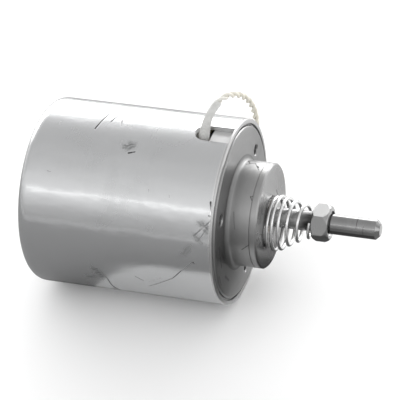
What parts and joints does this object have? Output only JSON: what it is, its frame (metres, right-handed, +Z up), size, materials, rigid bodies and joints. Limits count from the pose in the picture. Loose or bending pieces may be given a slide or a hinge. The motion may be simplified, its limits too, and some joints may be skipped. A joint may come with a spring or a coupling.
{
  "type": "dc solenoid",
  "caption": "Tubular pull solenoid: a drawn steel can with a flanged boss, a plunger rod with a hex collar pushed out by a conical spring, and flying leads from a slot.",
  "frame": {"origin": "centre of the flange's front face, on the plunger's axis, at the pattern of three screw holes", "axes": "+X along the plunger rod, out of the nose; +Z up through the lead slot; +Y completes the right-handed frame"},
  "size_m": [0.1038, 0.0976, 0.0645],
  "materials": {
    "plated_can": "satin",
    "turned_steel": "fine turned",
    "bronze": "sintered",
    "tube_brass": "bright",
    "soft_iron": "plain",
    "shim_brass": "bright",
    "nitrile": "matte",
    "fibre": "matte",
    "bobbin_plastic": "matte",
    "copper": "enamelled",
    "tape": "matte",
    "spring_steel": "bright",
    "rod_steel": "bright",
    "lead_insulation": "matte",
    "sleeving": "matte",
    "tinned": "bright"
  },
  "bodies": {
    "housing": {"housing_can": "plated_can", "front_flange": "turned_steel", "nose_cap": "turned_steel", "nose_bush": "bronze", "guide_tube": "tube_brass", "core_plate": "soft_iron", "fixed_core": "soft_iron", "shim_washer": "shim_brass", "bumper_ring": "nitrile", "front_washer": "fibre", "bobbin": "bobbin_plastic", "coil_winding": "copper", "coil_tape": "tape", "lead_pad": "fibre", "splices": "sleeving", "return_spring": "spring_steel", "lead_sleeve": "sleeving", "leads_run": "lead_insulation", "leads_coil": "lead_insulation", "leads_tail": "lead_insulation", "lead_ends": "tinned"},
    "plunger": {"plunger": "soft_iron", "plunger_rod": "rod_steel", "rod_pin": "rod_steel", "rod_tip": "rod_steel"}
  },
  "joints": [
    {"name": "plunger_slide", "type": "slide", "parent": "housing", "child": "plunger", "axis": [-1, 0, 0], "range_m": [0, 0.008], "stiffness_N_per_m": 450, "springref_m": -0.006, "deforming": ["return_spring"]}
  ]
}
